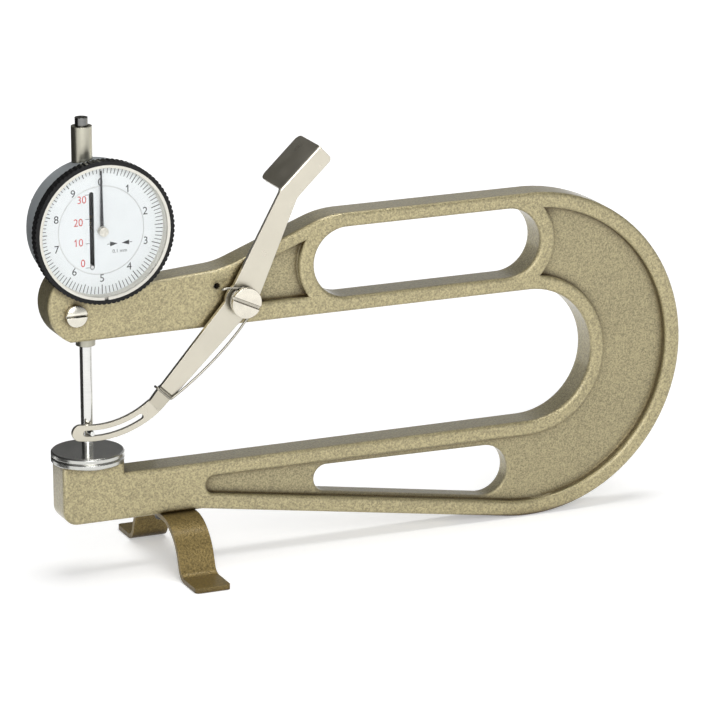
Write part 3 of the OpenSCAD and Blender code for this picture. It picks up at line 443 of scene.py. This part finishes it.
def cast_frame(rounding):
    bm = bmesh.new()
    bm.from_mesh(nodes["frame"].data)
    bmesh.ops.remove_doubles(bm, verts=bm.verts, dist=WELD)
    bmesh.ops.dissolve_limit(bm, angle_limit=FLAT, verts=bm.verts, edges=bm.edges)
    edges = [e for e in bm.edges if long_edge(e)]
    bmesh.ops.bevel(bm, geom=edges, offset=rounding, offset_type="OFFSET", segments=4, profile=0.5,
                    affect="EDGES", clamp_overlap=False, miter_outer="ARC")
    mesh = to_mesh(bm, "casting", closed=False)
    for f in mesh.polygons:
        f.use_smooth = True
    mesh.set_sharp_from_angle(angle=SHARP)
    return mesh


casting = add("casting", cast_frame(1.2 * MM), paint, "base")
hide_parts("frame")
even = casting.modifiers.new("even", "WEIGHTED_NORMAL")
even.keep_sharp = True


# Print on the dial: a closed film that goes a little into the face and stands a little proud of it
FACE_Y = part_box("dial_face")[0].y / MM
PRINT_BACK, PRINT_FRONT = FACE_Y + 0.01, FACE_Y - 0.02


def on_face(x, z, y):
    return at(DIAL.x + x, y, DIAL.y + z)


def printed(name, shapes, mat, body):
    """Flat shapes, each a list of points across and up from the dial's axis."""
    bm = bmesh.new()
    for shape in shapes:
        back, front = ([bm.verts.new(on_face(x, z, y)) for x, z in shape] for y in (PRINT_BACK, PRINT_FRONT))
        bm.faces.new(back)
        bm.faces.new(front[::-1])
        join_loops(bm, front, back)
    return add(name, to_mesh(bm, name), mat, body)


def flat_text(text):
    curve = bpy.data.curves.new("figure", "FONT")
    curve.body = text
    curve.align_x, curve.align_y = "CENTER", "CENTER"
    curve.resolution_u = 6
    probe = bpy.data.objects.new("figure", curve)
    scene.collection.objects.link(probe)
    bpy.context.view_layer.update()
    flat = bpy.data.meshes.new_from_object(probe.evaluated_get(bpy.context.evaluated_depsgraph_get()))
    bpy.data.objects.remove(probe)
    bpy.data.curves.remove(curve)
    return flat


def words(name, entries, height, wide, mat, body):
    """Upright figures of one height: the text of each and the place of its middle."""
    bm = bmesh.new()
    for text, x, z in entries:
        flat = flat_text(text)
        low, high = (Vector(pick(v.co[i] for v in flat.vertices) for i in (0, 1)) for pick in (min, max))
        mid = (low + high) / 2
        k = height / (high.y - low.y)
        for v in flat.vertices:
            v.co = on_face(x + (v.co.x - mid.x) * k * wide, z + (v.co.y - mid.y) * k, PRINT_FRONT)
        bm.from_mesh(flat)
        bpy.data.meshes.remove(flat)
    bmesh.ops.dissolve_limit(bm, angle_limit=0.01, verts=bm.verts, edges=bm.edges)
    grown = bmesh.ops.extrude_face_region(bm, geom=bm.faces[:])["geom"]
    bmesh.ops.translate(bm, vec=(0, (PRINT_BACK - PRINT_FRONT) * MM, 0),
                        verts=[g for g in grown if isinstance(g, bmesh.types.BMVert)])
    return add(name, to_mesh(bm, name), mat, body)


# The turning scale: lines that end on one circle, by every how many, inner radius and width, and ten figures
DIVISIONS = 100
LINE_OUT = 26.3
LINES = ((10, 22.5, 0.36), (5, 22.8, 0.32), (1, 23.3, 0.27))
FIGURE_R, FIGURE_H = 19.8, 3.1


def round_point(angle, radius, aside=0.0):
    """A point at an angle clockwise from the top, and a little aside of it."""
    s, c = math.sin(angle), math.cos(angle)
    return radius * s + aside * c, radius * c - aside * s


def scale_line(i):
    inner, width = next((r, w) for every, r, w in LINES if i % every == 0)
    corners = ((inner, -1), (LINE_OUT, -1), (LINE_OUT, 1), (inner, 1))
    return [round_point(math.tau * i / DIVISIONS, r, side * width / 2) for r, side in corners]


def flag(x, z):
    """The short stroke at the head of a one."""
    outline = ((-0.95, 0.62), (-0.62, 0.5), (0.05, 1.1), (0.05, 1.55), (-0.1, 1.55))
    return [(x + dx, z + dz) for dx, dz in outline]


figure_places = [round_point(math.tau * i / 10, FIGURE_R) for i in range(10)]
printed("scale_ticks", [scale_line(i) for i in range(DIVISIONS)], ink, "bezel")
words("scale_figures", [(str(i), *spot) for i, spot in enumerate(figure_places)], FIGURE_H, 1.0,
      ink, "bezel")
printed("scale_flag", [flag(*figure_places[1])], ink, "bezel")

# The straight scale beside the slot, in millimetres of travel
TRAVEL_FIGURES = (("30", -7.9, 13.2), ("20", -9.6, 4.0), ("10", -9.3, -4.3), ("0", -7.9, -12.9))
TRAVEL_ONE = (-10.6, -4.3)
TRAVEL_LINES = (-15, -5, 5, 15)
TRAVEL_LEFT, TRAVEL_RIGHT, TRAVEL_HALF = -6.6, -5.0, 0.1


def travel_line(z):
    left, right, half = TRAVEL_LEFT, TRAVEL_RIGHT, TRAVEL_HALF
    return [(left, z - half), (right, z - half), (right, z + half), (left, z + half)]


words("travel_figures", TRAVEL_FIGURES, FIGURE_H, 0.92, red, "base")
printed("travel_flag", [flag(*TRAVEL_ONE)], red, "base")
printed("travel_ticks", [travel_line(z) for z in TRAVEL_LINES], ink, "base")

# The unit, under two arrows that point at each other
ARROW_Z = -6.1
UNIT_X, UNIT_Z, UNIT_H = 7.75, -9.2, 1.45


def arrow(tail, way):
    """One arrow, to the right where way is 1 and to the left where it is -1."""
    outline = ((0, -0.12), (1.3, -0.12), (1.3, -1.0), (4.5, 0), (1.3, 1.0), (1.3, 0.12), (0, 0.12))
    return [(tail + way * x, ARROW_Z + way * z) for x, z in outline]


printed("reading_marks", [arrow(2.4, 1), arrow(13.1, -1)], ink, "base")
words("reading_figures", [("0.1 mm", UNIT_X, UNIT_Z)], UNIT_H, 1.0, ink, "base")

# A pale seat shows in the narrow gap between the dial and the turning scale
SEAT_IN, SEAT_OUT = 17.92, 18.19
SEAT_FRONT, SEAT_BACK = -10.98, -10.68
SEAT_STEPS = 120


def seat_ring():
    bm = bmesh.new()
    turns = [math.tau * i / SEAT_STEPS for i in range(SEAT_STEPS)]
    section = ((SEAT_IN, SEAT_FRONT), (SEAT_OUT, SEAT_FRONT), (SEAT_OUT, SEAT_BACK), (SEAT_IN, SEAT_BACK))
    loops = [[bm.verts.new(on_face(*round_point(a, r), y)) for a in turns] for r, y in section]
    for a, b in zip(loops, loops[1:] + loops[:1]):
        join_loops(bm, a, b)
    return to_mesh(bm, "dial_seat")


add("dial_seat", seat_ring(), enamel, "base")


# Wires

def tube(name, points, radius, sides, mat):
    """A round wire along smooth points, with closed ends."""
    bm = bmesh.new()
    side = (points[1] - points[0]).orthogonal()
    rings = []
    for i, p in enumerate(points):
        t = (points[min(i + 1, len(points) - 1)] - points[max(i - 1, 0)]).normalized()
        side = (side - t * side.dot(t)).normalized()
        other = t.cross(side)
        turns = (math.tau * k / sides for k in range(sides))
        rings.append([bm.verts.new(p + radius * (math.cos(a) * side + math.sin(a) * other)) for a in turns])
    for a, b in zip(rings, rings[1:]):
        join_loops(bm, a, b)
    bm.faces.new(rings[0][::-1])
    bm.faces.new(rings[-1])
    mesh = to_mesh(bm, name)
    for f in mesh.polygons:
        f.use_smooth = len(f.vertices) == 4
    return add(name, mesh, mat, None)


def rounded(points, radius, steps=6):
    """The same path with its sharp corners turned into short curves."""
    out = [points[0]]
    for a, b, c in zip(points, points[1:], points[2:]):
        u, v = a - b, c - b
        if u.angle(v) > math.radians(150):
            out.append(b)
            continue
        k = min(radius, 0.49 * u.length, 0.49 * v.length)
        p, q = b + u.normalized() * k, b + v.normalized() * k
        for i in range(steps + 1):
            f = i / steps
            out.append((1 - f) ** 2 * p + 2 * f * (1 - f) * b + f * f * q)
    out.append(points[-1])
    return out


# Lever spring: hooked end, bowed leg, coil under the screw's head, end in the frame's hole
COIL_R, COIL_Y, COIL_PITCH = 5.6, -11.4, 1.5
COIL_STEPS, BOW_STEPS = 100, 30
# The lever's arm slopes by one angle, and the bowed leg leaves it and comes back to it by the other
ARM_A, BOW_A = math.radians(46.3), math.radians(14)
LEG_A = ARM_A + BOW_A
SWEEP = 3 * math.pi - LEG_A
END_Y = COIL_Y - COIL_PITCH * SWEEP / math.tau
# The hook's place along and beside the arm, its length and how far its tip goes in
HOOK_ALONG, HOOK_BESIDE, HOOK_LEN, HOOK_DEEP = 49.5, 3.1, 7.7, 3
# The lengths of the bow's handles, at the coil and at the hook
LEAVE, ARRIVE = 14, 16
# How deep the wire's end goes, and where it turns towards the hole
HOLE_Y, HOLE_LEAD = -4, Vector((2.2, 0.4))


def pointing(angle):
    return Vector((math.cos(angle), math.sin(angle)))


def wire_at(p, y):
    return at(p.x, y, p.y)


arm_u, arm_v = -pointing(ARM_A), pointing(ARM_A - math.pi / 2)


def lever_spring_path():
    """From the hook's tip along the leg, round the coil and into the hole."""
    start = PIVOT + COIL_R * pointing(LEG_A - math.pi / 2)
    hook = PIVOT + HOOK_ALONG * arm_u + HOOK_BESIDE * arm_v
    tip = hook - HOOK_LEN * arm_v
    arriving = math.cos(BOW_A) * arm_u - math.sin(BOW_A) * arm_v
    bow = (start, start - LEAVE * pointing(LEG_A), hook - ARRIVE * arriving, hook)

    def on_bow(f):
        g = 1 - f
        return g ** 3 * bow[0] + 3 * f * g * g * bow[1] + 3 * f * f * g * bow[2] + f ** 3 * bow[3]

    path = [wire_at(tip, COIL_Y + HOOK_DEEP), wire_at(tip, COIL_Y), wire_at(hook, COIL_Y)]
    path += [wire_at(on_bow(i / BOW_STEPS), COIL_Y) for i in range(BOW_STEPS - 1, 0, -1)]
    for i in range(COIL_STEPS + 1):
        f = i / COIL_STEPS
        spot = PIVOT + COIL_R * pointing(LEG_A - math.pi / 2 + SWEEP * f)
        path.append(wire_at(spot, COIL_Y + (END_Y - COIL_Y) * f))
    path += [wire_at(SPRING_HOLE + HOLE_LEAD, END_Y), wire_at(SPRING_HOLE, END_Y)]
    path.append(wire_at(SPRING_HOLE, HOLE_Y))
    return path


lever_path = rounded(lever_spring_path(), 1.1 * MM)
lever_wire = tube("lever_spring_wire", lever_path, 0.5 * MM, sides=12, mat=wire)
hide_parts("lever_spring")
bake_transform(lever_wire)

# Return spring on its guide rod, a fixed coil below the collar
RETURN_LOW, RETURN_HIGH, COLLAR_Z = 79.62, 115.38, 115.6
RETURN_R, RETURN_TURNS, RETURN_STEPS = 1.75, 10, 320


def return_spring_point(f):
    x, y = RETURN_R * pointing(math.tau * RETURN_TURNS * f)
    return at(ROD_X + x, y, RETURN_LOW + (RETURN_HIGH - RETURN_LOW) * f)


coil = [return_spring_point(i / RETURN_STEPS) for i in range(RETURN_STEPS + 1)]
return_wire = tube("return_spring_wire", coil, 0.2 * MM, sides=8, mat=wire)
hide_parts("return_spring")
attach(return_wire, "base")
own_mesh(return_wire)


# Floor, cards, light and camera, in metres

def floor_finish():
    """A pale floor that glows a little where it is seen, more so far away."""
    s = Surface("floor_pale", (0.86, 0.86, 0.855), rough=0.9, Specular_IOR_Level=0.0)
    s.to("Base Color", s.ramp(s.noise(3), (0.3, (0.855, 0.855, 0.85)), (0.7, (0.88, 0.88, 0.875))))
    ray = s.tree.nodes.new("ShaderNodeLightPath").outputs
    mirrored = s.math("MAXIMUM", ray["Is Glossy Ray"], ray["Is Transmission Ray"])
    seen = s.math("MAXIMUM", ray["Is Camera Ray"], mirrored)
    glow = s.span(s.vector("LENGTH", s.coord), 0.34, 0.75, 0.3, 1.2)
    s.to("Emission Color", (*WHITE, 1.0))
    s.to("Emission Strength", s.math("MULTIPLY", seen, glow))
    return s.mat


def staged(name, bm, mat):
    mesh = to_mesh(bm, name, closed=False)
    mesh.materials.append(mat)
    obj = bpy.data.objects.new(name, mesh)
    scene.collection.objects.link(obj)
    return obj


bm = bmesh.new()
bmesh.ops.create_grid(bm, x_segments=1, y_segments=1, size=5.0)
floor = staged("floor", bm, floor_finish())
floor.location.z = -0.2 * MM


def card(name, mat, a, b, height, low=0.0):
    """An upright card from a to b, out of the picture, for the bright metal to reflect."""
    bm = bmesh.new()
    bm.faces.new([bm.verts.new((*p, z)) for p, z in ((a, low), (b, low), (b, height), (a, height))])
    obj = staged(name, bm, mat)
    obj.visible_camera = obj.visible_diffuse = obj.visible_shadow = False


card_black = satin("card_black", (0.045, 0.045, 0.046), 0.0, 0.9)
card_dim = satin("card_dim", (0.10, 0.097, 0.088), 0.0, 0.9)
card_grey = satin("card_grey", (0.20, 0.20, 0.202), 0.0, 0.9)
card("card_side", card_black, (-0.25, -0.03), (-0.25, 0.14), 0.30)
card("card_left", card_black, (-0.25, 0.14), (-0.11, 0.14), 0.30)
card("card_low", card_grey, (-0.11, 0.14), (-0.036, 0.14), 0.14)
card("card_tab", card_dim, (-0.11, 0.14), (-0.036, 0.14), 0.28, 0.17)


def lamp(name, where, aim, size, power):
    data = bpy.data.lights.new(name, "AREA")
    data.shape = "DISK"
    data.size = size
    data.energy = power
    obj = bpy.data.objects.new(name, data)
    obj.location = where
    obj.rotation_euler = (Vector(aim) - Vector(where)).to_track_quat("-Z", "Y").to_euler()
    scene.collection.objects.link(obj)


aim = (0.0, 0.0, 0.09)
lamp("key", (-0.4, -1.6, 0.85), aim, size=1.2, power=19.0)
lamp("top", (0.15, 0.0, 2.0), aim, size=1.2, power=22.0)


def studio():
    """A pale backdrop stands all round up to a low edge, and the room above it is dark."""
    world = bpy.data.worlds.new("studio")
    world.use_nodes = True
    tree = world.node_tree
    back = tree.nodes["Background"]
    height = tree.nodes.new("ShaderNodeSeparateXYZ")
    shade = tree.nodes.new("ShaderNodeValToRGB")
    pale, dim = shade.color_ramp.elements
    pale.position, pale.color = 0.34, (0.78, 0.78, 0.78, 1.0)
    dim.position, dim.color = 0.56, (0.22, 0.22, 0.225, 1.0)
    tree.links.new(tree.nodes.new("ShaderNodeTexCoord").outputs["Generated"], height.inputs[0])
    tree.links.new(height.outputs["Z"], shade.inputs["Fac"])
    tree.links.new(shade.outputs["Color"], back.inputs["Color"])
    back.inputs["Strength"].default_value = 0.7
    return world


scene.world = studio()

# The camera that fits the photograph: its place, its angles, and its focal length and picture in pixels
CAMERA_AT = Vector((-0.7162, -1.6862, 0.6089))
YAW, RISE, ROLL = 0.4002057, 0.2815882, -0.0028574
FOCAL, WIDTH = 4600, 704
SENSOR = 36.0


def camera_matrix():
    right = Vector((math.cos(YAW), -math.sin(YAW), 0))
    level = Vector((math.sin(YAW), math.cos(YAW), 0))
    ahead = level * math.cos(RISE) - Vector((0, 0, math.sin(RISE)))
    up = level * math.sin(RISE) + Vector((0, 0, math.cos(RISE)))
    c, s = math.cos(ROLL), math.sin(ROLL)
    columns = c * right + s * up, c * up - s * right, -ahead, CAMERA_AT
    return Matrix([*zip(*columns), (0, 0, 0, 1)])


view = bpy.data.cameras.new("camera")
view.sensor_fit = "HORIZONTAL"
view.sensor_width = SENSOR
view.lens = SENSOR * FOCAL / WIDTH
view.clip_end = 50.0
camera = bpy.data.objects.new("camera", view)
camera.matrix_world = camera_matrix()
scene.collection.objects.link(camera)
scene.camera = camera
scene.view_settings.view_transform = "Standard"
